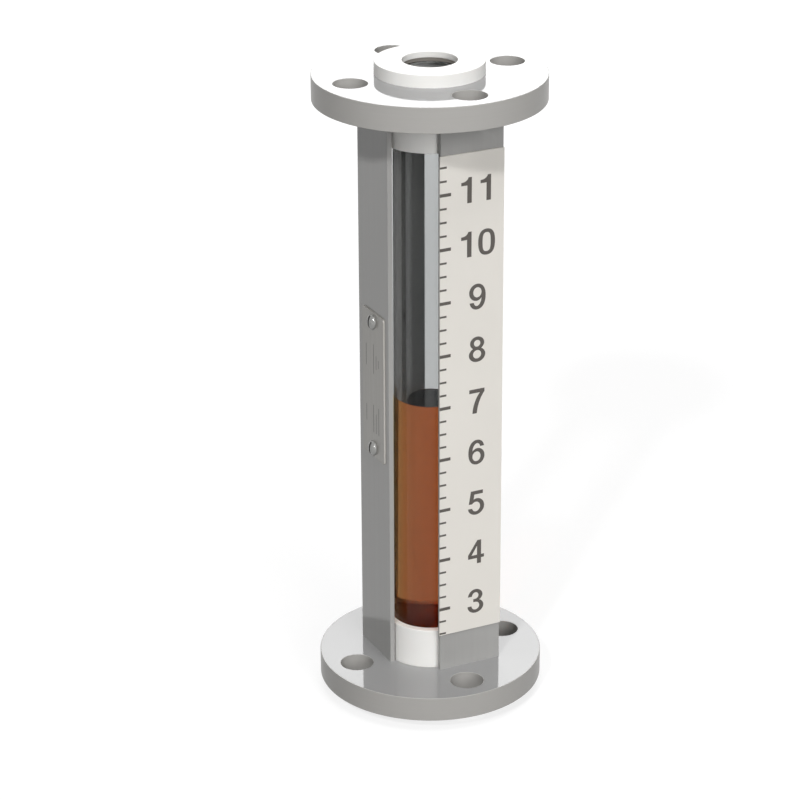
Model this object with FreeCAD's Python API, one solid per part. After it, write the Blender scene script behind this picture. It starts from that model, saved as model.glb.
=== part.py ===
import FreeCAD, Part
import math
import os

# Armored tubular level gauge: a thick glass tube held between two pipe flanges
# and guarded by two steel angles. All sizes are in millimetres, +Z runs up the
# tube, and the origin is the centre of the face that the lower connection
# stands on. The scale faces -Y and the nameplate faces -X.

# Flanges
FLANGE_DIAMETER = 108.0
FLANGE_THICKNESS = 12.0
FLANGE_FACE_TO_FACE = 304.8
BOLT_CIRCLE_DIAMETER = 79.4
BOLT_HOLE_DIAMETER = 15.9
BOLT_COUNT = 4
FLANGE_RIM_CHAMFER = 0.6

# Glass tube
GLASS_OUTER_DIAMETER = 37.0
GLASS_BORE_DIAMETER = 22.5

# White end bushes, each put in through its flange from outside
BUSH_WALL = 3.5
BUSH_HEAD_OVERHANG = 3.2
BUSH_HEAD_THICKNESS = 6.0
BUSH_LIP_THICKNESS = 3.0
BUSH_BORE_OVERSIZE = 2.9
BUSH_REACH_INSIDE_FLANGE = 19.6
BUSH_FLANGE_CLEARANCE = 0.2
SOCKET_CLEARANCE = 0.2

# Gaskets between the glass and the bushes' lips
GASKET_THICKNESS = 1.5
GASKET_CLEARANCE = 0.05

# Steel angles
ANGLE_BUSH_CLEARANCE = 0.4
ANGLE_THICKNESS = 2.4
ANGLE_LEG_WIDTH = 32.0
ANGLE_ROOT_RADIUS = 2.0
ANGLE_EDGE_RADIUS = 0.3

# Process liquid
LIQUID_HEIGHT_OVER_LOWER_FLANGE = 133.5
LIQUID_LOWER_RECESS = 0.5

# Scale plate on the right angle
SCALE_PLATE_THICKNESS = 0.8
SCALE_PLATE_TOE_OVERHANG = 0.7
SCALE_PLATE_LOWER_MARGIN = 19.1
SCALE_PLATE_UPPER_MARGIN = 19.8
SCALE_UNIT_SPACING = 26.19
SCALE_LOWEST_MAJOR_OVER_PLATE_EDGE = 14.0
SCALE_LOWEST_MAJOR_VALUE = 3
SCALE_HIGHEST_MAJOR_VALUE = 11
SCALE_DIVISIONS_PER_UNIT = 4
SCALE_TICKS_PAST_ENDS = 2
TICK_MINOR_LENGTH = 3.4
TICK_MINOR_WIDTH = 1.0
TICK_MAJOR_LENGTH = 5.6
TICK_MAJOR_WIDTH = 1.6
TICK_DEPTH = 0.3

# Nameplate on the left angle
NAMEPLATE_WIDTH = 23.0
NAMEPLATE_HEIGHT = 74.0
NAMEPLATE_THICKNESS = 0.8
NAMEPLATE_CORNER_RADIUS = 1.5
NAMEPLATE_OFFSET_FROM_LEG_CENTER = -0.7
NAMEPLATE_HEIGHT_OVER_LOWER_FLANGE = 140.7
SCREW_SPACING = 64.6
SCREW_HOLE_DIAMETER = 4.2
SCREW_SHANK_CLEARANCE = 0.1
SCREW_HEAD_DIAMETER = 7.2
SCREW_HEAD_HEIGHT = 2.4
SCREW_HEAD_BEVEL = 1.2
SCREW_END_STANDOUT = 1.0

# Heights and radii that follow from the sizes above
OVERALL_HEIGHT = FLANGE_FACE_TO_FACE + 2.0 * BUSH_HEAD_THICKNESS
MID_HEIGHT = OVERALL_HEIGHT / 2.0
LOWER_FLANGE_BOTTOM = BUSH_HEAD_THICKNESS
LOWER_FLANGE_TOP = LOWER_FLANGE_BOTTOM + FLANGE_THICKNESS
UPPER_FLANGE_BOTTOM = OVERALL_HEIGHT - LOWER_FLANGE_TOP
GLASS_OUTER_RADIUS = GLASS_OUTER_DIAMETER / 2.0
GLASS_BORE_RADIUS = GLASS_BORE_DIAMETER / 2.0
GLASS_BOTTOM = BUSH_LIP_THICKNESS + GASKET_THICKNESS
GLASS_TOP = OVERALL_HEIGHT - GLASS_BOTTOM
SOCKET_RADIUS = GLASS_OUTER_RADIUS + SOCKET_CLEARANCE
BUSH_BODY_RADIUS = SOCKET_RADIUS + BUSH_WALL
BUSH_HEAD_RADIUS = BUSH_BODY_RADIUS + BUSH_HEAD_OVERHANG
BUSH_BORE_RADIUS = (GLASS_BORE_DIAMETER + BUSH_BORE_OVERSIZE) / 2.0
BUSH_INNER_END = LOWER_FLANGE_TOP + BUSH_REACH_INSIDE_FLANGE
ANGLE_INNER_OFFSET = BUSH_BODY_RADIUS + ANGLE_BUSH_CLEARANCE
ANGLE_OUTER_OFFSET = ANGLE_INNER_OFFSET + ANGLE_THICKNESS
ANGLE_TOE_POSITION = ANGLE_LEG_WIDTH - ANGLE_OUTER_OFFSET
LIQUID_LEVEL = LOWER_FLANGE_TOP + LIQUID_HEIGHT_OVER_LOWER_FLANGE
SCALE_FACE = -ANGLE_OUTER_OFFSET - SCALE_PLATE_THICKNESS
SCALE_PLATE_EDGE = -ANGLE_TOE_POSITION - SCALE_PLATE_TOE_OVERHANG
SCALE_PLATE_BOTTOM = LOWER_FLANGE_TOP + SCALE_PLATE_LOWER_MARGIN
SCALE_PLATE_TOP = UPPER_FLANGE_BOTTOM - SCALE_PLATE_UPPER_MARGIN
SCALE_LOWEST_MAJOR_HEIGHT = SCALE_PLATE_BOTTOM + SCALE_LOWEST_MAJOR_OVER_PLATE_EDGE
NAMEPLATE_FACE = -ANGLE_OUTER_OFFSET - NAMEPLATE_THICKNESS
NAMEPLATE_CENTER_Y = ((ANGLE_OUTER_OFFSET - ANGLE_TOE_POSITION) / 2.0
                      + NAMEPLATE_OFFSET_FROM_LEG_CENTER)
NAMEPLATE_CENTER_Z = LOWER_FLANGE_TOP + NAMEPLATE_HEIGHT_OVER_LOWER_FLANGE
SCREW_HEIGHTS = (NAMEPLATE_CENTER_Z - SCREW_SPACING / 2.0,
                 NAMEPLATE_CENTER_Z + SCREW_SPACING / 2.0)

# How far a cutting tool runs past the surface that it breaks through
CUTTER_OVERRUN = 1.0
# Two places closer than this are the same place
SAME_PLACE = 1e-6


def point(x, y, z=0.0):
    return FreeCAD.Vector(x, y, z)


def revolved(outline):
    """Turn a closed outline of (radius, height) pairs about the tube's axis."""
    corners = [point(radius, 0.0, height) for radius, height in outline]
    face = Part.Face(Part.makePolygon(corners + corners[:1]))
    return face.revolve(point(0, 0, 0), point(0, 0, 1), 360)


def flipped_end_for_end(shape):
    """Turn a lower end piece about the X axis at mid height to make the upper one."""
    turned = shape.copy()
    turned.rotate(point(0, 0, MID_HEIGHT), point(1, 0, 0), 180)
    return turned


def lower_flange():
    """A flat disc with a chamfered rim, a bore for the bush and round bolt holes."""
    rim = FLANGE_DIAMETER / 2.0
    bore = BUSH_BODY_RADIUS + BUSH_FLANGE_CLEARANCE
    bottom, top, cut = LOWER_FLANGE_BOTTOM, LOWER_FLANGE_TOP, FLANGE_RIM_CHAMFER
    disc = revolved([
        (bore, bottom), (rim - cut, bottom), (rim, bottom + cut),
        (rim, top - cut), (rim - cut, top), (bore, top),
    ])
    return disc.cut(bolt_hole_cutters())


def bolt_hole_cutters():
    """One drill for each bolt, evenly spaced from the X axis."""
    bottom = LOWER_FLANGE_BOTTOM - CUTTER_OVERRUN
    length = FLANGE_THICKNESS + 2.0 * CUTTER_OVERRUN
    cutters = []
    for index in range(BOLT_COUNT):
        turn = 2.0 * math.pi * index / BOLT_COUNT
        center = point(BOLT_CIRCLE_DIAMETER / 2.0 * math.cos(turn),
                       BOLT_CIRCLE_DIAMETER / 2.0 * math.sin(turn), bottom)
        cutters.append(Part.makeCylinder(BOLT_HOLE_DIAMETER / 2.0, length, center))
    return Part.makeCompound(cutters)


def angle_blank():
    """An equal angle with its corner at (-X, +Y), between the two flanges."""
    inner, far, toe = ANGLE_INNER_OFFSET, ANGLE_OUTER_OFFSET, ANGLE_TOE_POSITION
    corners = [point(x, y, LOWER_FLANGE_TOP) for x, y in (
        (-far, -toe), (-inner, -toe), (-inner, inner), (toe, inner), (toe, far), (-far, far),
    )]
    section = Part.Face(Part.makePolygon(corners + corners[:1]))
    bar = section.extrude(point(0, 0, UPPER_FLANGE_BOTTOM - LOWER_FLANGE_TOP))
    outer_edges = [edge for edge in bar.Edges
                   if is_upright(edge) and not stands_at(edge, -inner, inner)]
    bar = bar.makeFillet(ANGLE_EDGE_RADIUS, outer_edges)
    root = [edge for edge in bar.Edges if is_upright(edge) and stands_at(edge, -inner, inner)]
    return bar.makeFillet(ANGLE_ROOT_RADIUS, root)


def is_upright(edge):
    box = edge.BoundBox
    return box.XLength < SAME_PLACE and box.YLength < SAME_PLACE and box.ZLength > SAME_PLACE


def stands_at(edge, x, y):
    """True for an edge whose plan position is (x, y)."""
    box = edge.BoundBox
    return abs(box.XMin - x) < SAME_PLACE and abs(box.YMin - y) < SAME_PLACE


def along_x(radius, start, end, height):
    """A cylinder along X on the nameplate's upright centre line."""
    return Part.makeCylinder(radius, end - start, point(start, NAMEPLATE_CENTER_Y, height),
                             point(1, 0, 0))


def screw_holes():
    """The holes that the nameplate's screws pass through, in plate and angle."""
    start, end = NAMEPLATE_FACE - CUTTER_OVERRUN, -ANGLE_INNER_OFFSET + CUTTER_OVERRUN
    return Part.makeCompound([along_x(SCREW_HOLE_DIAMETER / 2.0, start, end, height)
                              for height in SCREW_HEIGHTS])


def left_angle():
    return angle_blank().cut(screw_holes())


def right_angle():
    """The same section turned half round, so that its corner is at (+X, -Y)."""
    turned = angle_blank()
    turned.rotate(point(0, 0, 0), point(0, 0, 1), 180)
    return turned


def glass_tube():
    return revolved([
        (GLASS_BORE_RADIUS, GLASS_BOTTOM), (GLASS_OUTER_RADIUS, GLASS_BOTTOM),
        (GLASS_OUTER_RADIUS, GLASS_TOP), (GLASS_BORE_RADIUS, GLASS_TOP),
    ])


def lower_bush():
    """Head on the flange face, body through the flange, and a deep socket for the glass.

    The lip at the socket's floor covers the end of the glass and carries its gasket.
    """
    return revolved([
        (BUSH_BORE_RADIUS, 0.0), (BUSH_HEAD_RADIUS, 0.0),
        (BUSH_HEAD_RADIUS, BUSH_HEAD_THICKNESS), (BUSH_BODY_RADIUS, BUSH_HEAD_THICKNESS),
        (BUSH_BODY_RADIUS, BUSH_INNER_END), (SOCKET_RADIUS, BUSH_INNER_END),
        (SOCKET_RADIUS, BUSH_LIP_THICKNESS), (BUSH_BORE_RADIUS, BUSH_LIP_THICKNESS),
    ])


def lower_gasket():
    """A flat ring between the end of the glass and the bush's lip."""
    outer = SOCKET_RADIUS - GASKET_CLEARANCE
    return revolved([
        (BUSH_BORE_RADIUS, BUSH_LIP_THICKNESS), (outer, BUSH_LIP_THICKNESS),
        (outer, GLASS_BOTTOM), (BUSH_BORE_RADIUS, GLASS_BOTTOM),
    ])


def process_liquid():
    """The column that stands in the lower bush's bore and in the glass."""
    return revolved([
        (0.0, LIQUID_LOWER_RECESS), (BUSH_BORE_RADIUS, LIQUID_LOWER_RECESS),
        (BUSH_BORE_RADIUS, GLASS_BOTTOM), (GLASS_BORE_RADIUS, GLASS_BOTTOM),
        (GLASS_BORE_RADIUS, LIQUID_LEVEL), (0.0, LIQUID_LEVEL),
    ])


def tick_marks():
    """The scale's lines, each a bar of paint that fills a groove from the plate's edge."""
    units = SCALE_HIGHEST_MAJOR_VALUE - SCALE_LOWEST_MAJOR_VALUE
    last = units * SCALE_DIVISIONS_PER_UNIT + SCALE_TICKS_PAST_ENDS
    marks = []
    for step in range(-SCALE_TICKS_PAST_ENDS, last + 1):
        is_major = step % SCALE_DIVISIONS_PER_UNIT == 0
        length = TICK_MAJOR_LENGTH if is_major else TICK_MINOR_LENGTH
        width = TICK_MAJOR_WIDTH if is_major else TICK_MINOR_WIDTH
        height = SCALE_LOWEST_MAJOR_HEIGHT + step * SCALE_UNIT_SPACING / SCALE_DIVISIONS_PER_UNIT
        marks.append(Part.makeBox(length, TICK_DEPTH, width,
                                  point(SCALE_PLATE_EDGE, SCALE_FACE, height - width / 2.0)))
    return Part.makeCompound(marks)


def scale_plate():
    """A thin plate over the right angle's front leg, a little wider than the leg at its toe."""
    plate = Part.makeBox(ANGLE_LEG_WIDTH + SCALE_PLATE_TOE_OVERHANG, SCALE_PLATE_THICKNESS,
                         SCALE_PLATE_TOP - SCALE_PLATE_BOTTOM,
                         point(SCALE_PLATE_EDGE, SCALE_FACE, SCALE_PLATE_BOTTOM))
    return plate.cut(tick_marks())


def nameplate():
    """A plate with rounded corners on the left angle's side leg."""
    plate = Part.makeBox(NAMEPLATE_THICKNESS, NAMEPLATE_WIDTH, NAMEPLATE_HEIGHT,
                         point(NAMEPLATE_FACE, NAMEPLATE_CENTER_Y - NAMEPLATE_WIDTH / 2.0,
                               NAMEPLATE_CENTER_Z - NAMEPLATE_HEIGHT / 2.0))
    corners = [edge for edge in plate.Edges
               if edge.BoundBox.YLength < SAME_PLACE and edge.BoundBox.ZLength < SAME_PLACE]
    return plate.makeFillet(NAMEPLATE_CORNER_RADIUS, corners).cut(screw_holes())


def nameplate_screws():
    """Two screws with raised heads, each with its shank through plate and angle."""
    head = SCREW_HEAD_DIAMETER / 2.0
    shank = SCREW_HOLE_DIAMETER / 2.0 - SCREW_SHANK_CLEARANCE
    seat, crown = NAMEPLATE_FACE, NAMEPLATE_FACE - SCREW_HEAD_HEIGHT
    end = -ANGLE_INNER_OFFSET + SCREW_END_STANDOUT
    outline = [point(x, radius) for x, radius in (
        (crown, 0.0), (crown, head - SCREW_HEAD_BEVEL), (crown + SCREW_HEAD_BEVEL, head),
        (seat, head), (seat, shank), (end, shank), (end, 0.0), (crown, 0.0),
    )]
    turned = Part.Face(Part.makePolygon(outline)).revolve(point(0, 0), point(1, 0), 360)
    screws = []
    for height in SCREW_HEIGHTS:
        screw = turned.copy()
        screw.translate(point(0, NAMEPLATE_CENTER_Y, height))
        screws.append(screw)
    return Part.makeCompound(screws)


def main():
    os.makedirs("parts", exist_ok=True)
    flange, bush, gasket = lower_flange(), lower_bush(), lower_gasket()
    nodes = {
        "bottom_flange": flange,
        "top_flange": flipped_end_for_end(flange),
        "left_armor_angle": left_angle(),
        "right_armor_angle": right_angle(),
        "glass_tube": glass_tube(),
        "bottom_end_bush": bush,
        "top_end_bush": flipped_end_for_end(bush),
        "bottom_seat_gasket": gasket,
        "top_seat_gasket": flipped_end_for_end(gasket),
        "process_liquid": process_liquid(),
        "scale_plate": scale_plate(),
        "scale_graduations": tick_marks(),
        "nameplate": nameplate(),
        "nameplate_screws": nameplate_screws(),
    }
    for name, shape in nodes.items():
        shape.exportStep("parts/" + name + ".step")
        print(name, "valid", shape.isValid(), "solids", len(shape.Solids),
              "volume", round(shape.Volume, 1))


main()
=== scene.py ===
"""Dresses the armored tubular level gauge: pieces, finishes, lamps and camera.

The gauge's sizes are written in millimetres, as in the part's source, and become metres
where an operator takes them. Finishes, floor, lamps and camera are in metres. Z runs up
the tube, the scale faces -Y and the nameplate faces -X.
"""

import logging
import math
from collections.abc import Callable, Iterator, Sequence
from contextlib import contextmanager
from dataclasses import dataclass, field
from enum import Enum

import bpy
from mathutils import Matrix, Vector


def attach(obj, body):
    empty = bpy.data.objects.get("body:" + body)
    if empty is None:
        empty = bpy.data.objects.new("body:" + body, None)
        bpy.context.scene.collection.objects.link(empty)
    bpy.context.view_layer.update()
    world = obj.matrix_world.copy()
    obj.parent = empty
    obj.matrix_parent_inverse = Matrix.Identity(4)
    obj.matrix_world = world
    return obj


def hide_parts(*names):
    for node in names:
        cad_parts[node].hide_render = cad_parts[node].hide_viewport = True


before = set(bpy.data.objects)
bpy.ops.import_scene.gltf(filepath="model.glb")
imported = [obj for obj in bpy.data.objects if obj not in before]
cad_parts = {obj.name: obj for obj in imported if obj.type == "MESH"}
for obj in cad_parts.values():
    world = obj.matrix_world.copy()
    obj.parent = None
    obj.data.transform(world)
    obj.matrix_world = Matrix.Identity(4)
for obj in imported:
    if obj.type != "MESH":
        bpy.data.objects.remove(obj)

MM = 0.001
BODY = "root"
# Places that are this near, in millimetres, count as one
SNUG = 0.01
# A face whose normal is this upright, of 1, counts as level
FLAT = 0.999
# Doubles are merged within this distance in metres
WELD = 0.000001
# Edges sharper than this, in degrees, are rounded
SHARP_EDGE = 40.0
# How much more than small faces the large ones set the shading, where 50 is even
FACE_WEIGHT = 80
# Waves per metre, from the axis outwards, of a face that was turned
RING_LINES = 2600.0
Outline = Sequence[tuple[float, float]]
Triple = tuple[float, float, float]
Color = Triple
Piece = bpy.types.Object
Material = bpy.types.Material
Node = bpy.types.Node
Socket = bpy.types.NodeSocket

logging.basicConfig(level=logging.INFO, format="%(name)s: %(message)s")
log = logging.getLogger("gauge")


# Bench tools


def clear_selection() -> None:
    """Deselect every object, the CAD nodes among them."""
    bpy.ops.object.select_all(action="DESELECT")
    bpy.context.view_layer.objects.active = None


def take_up(piece: Piece) -> None:
    """Make one piece the only selected and the active object.

    Args:
        piece: The object that the next operators work on.
    """
    clear_selection()
    piece.select_set(True)
    bpy.context.view_layer.objects.active = piece


class Pick(Enum):
    """What is picked in a mesh, as Blender's switches for vertices, edges and faces."""

    VERTICES = (True, False, False)
    EDGES = (False, True, False)


@contextmanager
def edit_mode(piece: Piece, pick: Pick = Pick.VERTICES) -> Iterator[None]:
    """Hold a piece in edit mode for the length of a with block.

    The switches are set first, because a pick of edges spreads in vertex mode.

    Args:
        piece: The mesh to edit.
        pick: What is picked in it.

    Returns:
        Nothing, the operators inside the block work on the piece.
    """
    take_up(piece)
    bpy.context.tool_settings.mesh_select_mode = pick.value
    bpy.ops.object.mode_set(mode="EDIT")
    yield
    bpy.ops.object.mode_set(mode="OBJECT")


def pick_none(piece: Piece) -> None:
    """Deselect every vertex, edge and face of a mesh, in object mode."""
    for parts in (piece.data.vertices, piece.data.edges, piece.data.polygons):
        parts.foreach_set("select", [False] * len(parts))


def pick_vertices(piece: Piece, test: Callable[[Vector], bool]) -> None:
    """Select the vertices whose place passes a test, and no others.

    Args:
        piece: The mesh, in object mode.
        test: Takes a vertex's place in millimetres and says whether it is wanted.
    """
    pick_none(piece)
    for vertex in piece.data.vertices:
        vertex.select = bool(test(vertex.co / MM))


def pick_edges(piece: Piece, test: Callable[[Vector, Vector], bool]) -> None:
    """Select the edges whose two ends pass a test, and no others.

    Args:
        piece: The mesh, in object mode.
        test: Takes both ends' places in millimetres and says whether the edge is wanted.
    """
    pick_none(piece)
    mesh = piece.data
    for edge in mesh.edges:
        first, second = (mesh.vertices[index].co / MM for index in edge.vertices)
        edge.select = bool(test(first, second))


def bevel_picked(piece: Piece, radius: float, steps: int) -> None:
    """Round the picked edges of a mesh by a radius in millimetres."""
    with edit_mode(piece, Pick.EDGES):
        bpy.ops.mesh.bevel(offset=radius * MM, segments=steps, affect="EDGES")


def extrude(operator: Callable[..., object], move: Triple) -> None:
    """Run one of Blender's extrude operators and shift what it makes, in millimetres."""
    operator(TRANSFORM_OT_translate={"value": [step * MM for step in move]})


def face_outwards() -> None:
    """Point all normals of the mesh in edit mode outwards."""
    bpy.ops.mesh.select_all(action="SELECT")
    bpy.ops.mesh.normals_make_consistent(inside=False)


def settle(piece: Piece) -> None:
    """Put a piece's place, turn and scale into its mesh, so its object sits at the origin."""
    take_up(piece)
    bpy.ops.object.transform_apply(location=True, rotation=True, scale=True)


def apply_modifier(piece: Piece, kind: str, **settings: object) -> None:
    """Add one modifier, set it and apply it.

    Args:
        piece: The mesh that gets it.
        kind: Blender's name for the modifier's type.
        settings: Values of the modifier's own properties.
    """
    take_up(piece)
    bpy.ops.object.modifier_add(type=kind)
    modifier = piece.modifiers[-1]
    for name, value in settings.items():
        setattr(modifier, name, value)
    bpy.ops.object.modifier_apply(modifier=modifier.name)


def round_edges(piece: Piece, radius: float, steps: int = 3) -> None:
    """Round every sharp edge of a piece by a small radius in millimetres."""
    apply_modifier(piece, "BEVEL", width=radius * MM, segments=steps,
                   limit_method="ANGLE", angle_limit=math.radians(SHARP_EDGE))


def ring_of(place: Vector) -> tuple[float, float]:
    """The ring round the tube's axis that a place lies on, as its radius and height."""
    return place.xy.length, place.z


def upright_of(place: Vector) -> tuple[float, float]:
    """The upright line that a place lies on, as its x and y."""
    return place.x, place.y


def round_marked(piece: Piece, marks: Outline, mark_of: Callable[[Vector], Sequence[float]],
                 radius: float, steps: int = 3) -> None:
    """Round the edges that lie on some marks, and leave the others sharp.

    Args:
        piece: The mesh, in object mode.
        marks: The rings or uprights to round, as pairs in millimetres.
        mark_of: ring_of or upright_of, which says what mark a place lies on.
        radius: The rounding's radius in millimetres.
        steps: Faces across the rounding.
    """
    def marked(*ends: Vector) -> bool:
        """Say whether both ends lie on the same mark."""
        return any(all(math.dist(mark_of(end), mark) < SNUG for end in ends) for mark in marks)

    pick_edges(piece, marked)
    bevel_picked(piece, radius, steps)


def smooth_off(piece: Piece, degrees: float) -> None:
    """Shade a piece smooth, with its flat faces kept truly flat.

    Args:
        piece: The mesh to shade.
        degrees: Edges sharper than this stay sharp.
    """
    take_up(piece)
    bpy.ops.object.shade_smooth_by_angle(angle=math.radians(degrees))
    apply_modifier(piece, "WEIGHTED_NORMAL", keep_sharp=True, weight=FACE_WEIGHT)


def turned_piece(name: str, outline: Outline, segments: int, capped: bool = False) -> Piece:
    """Turn an outline about the tube's axis, as on a lathe.

    A circle is laid at the outline's first corner and extruded from corner to corner.

    Args:
        name: The piece's name.
        outline: Corners as (radius, height) in millimetres, in order.
        segments: Straight sides in a full turn.
        capped: True for a solid bar with a face at both ends, False for a ring, whose
            last corner is joined to its first.

    Returns:
        The closed mesh, with its normals outwards.
    """
    clear_selection()
    radius, height = outline[0]
    bpy.ops.mesh.primitive_circle_add(vertices=segments, radius=radius * MM,
                                      location=(0.0, 0.0, height * MM))
    piece = bpy.context.object
    piece.name = piece.data.name = name
    settle(piece)
    with edit_mode(piece, Pick.EDGES):
        bpy.ops.mesh.select_all(action="SELECT")
        for next_radius, next_height in outline[1:]:
            extrude(bpy.ops.mesh.extrude_edges_move, (0.0, 0.0, next_height - height))
            share = next_radius / radius
            bpy.ops.transform.resize(value=(share, share, 1.0),
                                     center_override=(0.0, 0.0, next_height * MM))
            radius, height = next_radius, next_height
    count = len(piece.data.vertices)
    ends = [range(segments), range(count - segments, count)]
    if capped:
        for loop in ends:
            close_loops(piece, set(loop), bpy.ops.mesh.edge_face_add)
    else:
        close_loops(piece, set(ends[0]) | set(ends[1]), bpy.ops.mesh.bridge_edge_loops)
    return piece


def close_loops(piece: Piece, wanted: set[int], close: Callable[[], object]) -> None:
    """Close loops of vertices with faces and point all normals outwards.

    Args:
        piece: The mesh, in object mode.
        wanted: Indices of the loops' vertices.
        close: The operator that makes the faces.
    """
    pick_none(piece)
    for index in wanted:
        piece.data.vertices[index].select = True
    with edit_mode(piece):
        close()
        face_outwards()


def block(name: str, center: Triple, size: Triple) -> Piece:
    """Make a block.

    Args:
        name: The piece's name.
        center: Its middle in millimetres.
        size: Its size along X, Y and Z in millimetres.

    Returns:
        The closed block.
    """
    clear_selection()
    bpy.ops.mesh.primitive_cube_add(size=MM, location=[place * MM for place in center])
    piece = bpy.context.object
    piece.name = piece.data.name = name
    piece.scale = size
    settle(piece)
    return piece


def cut_away(piece: Piece, cutter: Piece) -> None:
    """Subtract a cutter from a piece and throw the cutter away."""
    apply_modifier(piece, "BOOLEAN", operation="DIFFERENCE", solver="EXACT", object=cutter)
    bpy.data.objects.remove(cutter)


def joined(name: str, parts: Sequence[Piece]) -> Piece:
    """Join several meshes into one named piece.

    Args:
        name: The new piece's name.
        parts: The meshes, the first of which takes in the others.

    Returns:
        The joined mesh.
    """
    take_up(parts[0])
    for part in parts:
        part.select_set(True)
    bpy.ops.object.join()
    parts[0].name = parts[0].data.name = name
    return parts[0]


# Finishes


class NodeBoard:
    """A material's or a world's node tree, laid out with short calls."""

    def __init__(self, name: str, world: bool = False) -> None:
        """Start an empty node tree.

        Args:
            name: The material's or the world's name.
            world: True for a world, False for a material.
        """
        self.owner = (bpy.data.worlds if world else bpy.data.materials).new(name)
        self.owner.use_nodes = True
        self.tree = self.owner.node_tree
        self.tree.nodes.clear()
        self.output = self.add("OutputWorld" if world else "OutputMaterial")
        self.place = self.tree.nodes.new("ShaderNodeTexCoord").outputs["Object"]

    def add(self, kind: str, **sockets: object) -> Node:
        """Add a node and set or link its inputs.

        Args:
            kind: The node's type without its ShaderNode prefix.
            sockets: Inputs by name, with _ for a space. A socket is linked and anything
                else is a fixed value.

        Returns:
            The new node.
        """
        node = self.tree.nodes.new("ShaderNode" + kind)
        for name, value in sockets.items():
            self.feed(node, name.replace("_", " "), value)
        return node

    def feed(self, node: Node, name: str | int, value: object) -> None:
        """Link a socket to one of a node's inputs, or set the input's value.

        Args:
            node: The node that has the input.
            name: The input's name or number.
            value: A socket to link, or a fixed value.
        """
        if isinstance(value, Socket):
            self.tree.links.new(value, node.inputs[name])
        else:
            node.inputs[name].default_value = value

    def math(self, operation: str, *values: object) -> Socket:
        """Work out one number from one or two numbers.

        Args:
            operation: Blender's name for the sum.
            values: Sockets or fixed numbers.

        Returns:
            The result's socket.
        """
        node = self.tree.nodes.new("ShaderNodeMath")
        node.operation = operation
        for index, value in enumerate(values):
            self.feed(node, index, value)
        return node.outputs[0]

    def noise(self, scale: Triple, detail: float = 3.0, at: Socket | None = None) -> Socket:
        """A noise pattern, stretched by its scale along each axis.

        Args:
            scale: Waves per metre along X, Y and Z.
            detail: How many finer octaves it has.
            at: Coordinates to read, the piece's own place when left out.

        Returns:
            The pattern's strength, from 0 to 1.
        """
        mapping = self.add("Mapping", Vector=at or self.place, Scale=scale)
        pattern = self.add("TexNoise", Vector=mapping.outputs[0], Scale=1.0, Detail=detail)
        return pattern.outputs["Fac"]

    def spread(self, value: object, low: float, high: float,
               start: float = 0.3, stop: float = 0.7) -> Socket:
        """Stretch a pattern's middle range to run from low to high.

        Args:
            value: The pattern's socket.
            low: The result at start.
            high: The result at stop.
            start: The pattern's lower end.
            stop: The pattern's upper end.

        Returns:
            The stretched value.
        """
        node = self.add("MapRange", Value=value)
        for name, number in zip(("From Min", "From Max", "To Min", "To Max"),
                                (start, stop, low, high)):
            node.inputs[name].default_value = number
        return node.outputs[0]

    def weighed(self, first: Socket, second: Socket, share: float) -> Socket:
        """Add two patterns, the first by its share and the second by the rest of 1."""
        return self.math("ADD", self.math("MULTIPLY", first, share),
                         self.math("MULTIPLY", second, 1.0 - share))

    def blend(self, share: object, first: Color, second: Color) -> Socket:
        """Mix two colours by a pattern.

        Args:
            share: How much of the second colour shows.
            first: The colour at 0.
            second: The colour at 1.

        Returns:
            The mixed colour.
        """
        node = self.tree.nodes.new("ShaderNodeMix")
        node.data_type = "RGBA"
        self.feed(node, 0, share)
        node.inputs[6].default_value = (*first, 1.0)
        node.inputs[7].default_value = (*second, 1.0)
        return node.outputs[2]

    def clouded(self, color: Color, scale: Triple, share: float) -> Socket:
        """Cloud a colour softly.

        Args:
            color: The colour between the clouds.
            scale: The clouds' waves per metre along X, Y and Z.
            share: How much of the colour's lightness is left in a cloud.

        Returns:
            The clouded colour.
        """
        clouds = self.spread(self.noise(scale, 4.0), 0.0, 1.0)
        return self.blend(clouds, color, scaled(color, share))

    def bump(self, height: object, depth: float, strength: float = 1.0) -> Socket:
        """Turn a height pattern into a shading normal.

        Args:
            height: The pattern's socket.
            depth: Metres from its low to its high.
            strength: How much of it shows.

        Returns:
            The normal's socket.
        """
        node = self.add("Bump", Height=height, Strength=strength, Distance=depth)
        return node.outputs["Normal"]

    def ring_radius(self) -> Socket:
        """Measure the distance from the tube's axis.

        Returns:
            The distance in metres.
        """
        flat = self.add("VectorMath", Vector=self.place)
        flat.operation = "MULTIPLY"
        flat.inputs[1].default_value = (1.0, 1.0, 0.0)
        length = self.add("VectorMath", Vector=flat.outputs[0])
        length.operation = "LENGTH"
        return length.outputs["Value"]

    def lathe_rings(self) -> Socket:
        """Fine rings round the tube's axis, as facing on a lathe leaves them."""
        ring = self.add("CombineXYZ", X=self.ring_radius())
        return self.noise((RING_LINES, 1.0, 1.0), 2.0, ring.outputs[0])

    def lets_light_in(self, shader: Node, tint: Color) -> Node:
        """Let the lamps' light through a clear surface, tinted, onto what is behind it.

        Args:
            shader: The surface's shader node.
            tint: What one surface lets through of red, green and blue.

        Returns:
            The mixed shader's node.
        """
        passed = self.add("BsdfTransparent", Color=(*tint, 1.0))
        mixed = self.add("MixShader", Fac=self.add("LightPath").outputs["Is Shadow Ray"])
        self.tree.links.new(shader.outputs[0], mixed.inputs[1])
        self.tree.links.new(passed.outputs[0], mixed.inputs[2])
        return mixed

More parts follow.
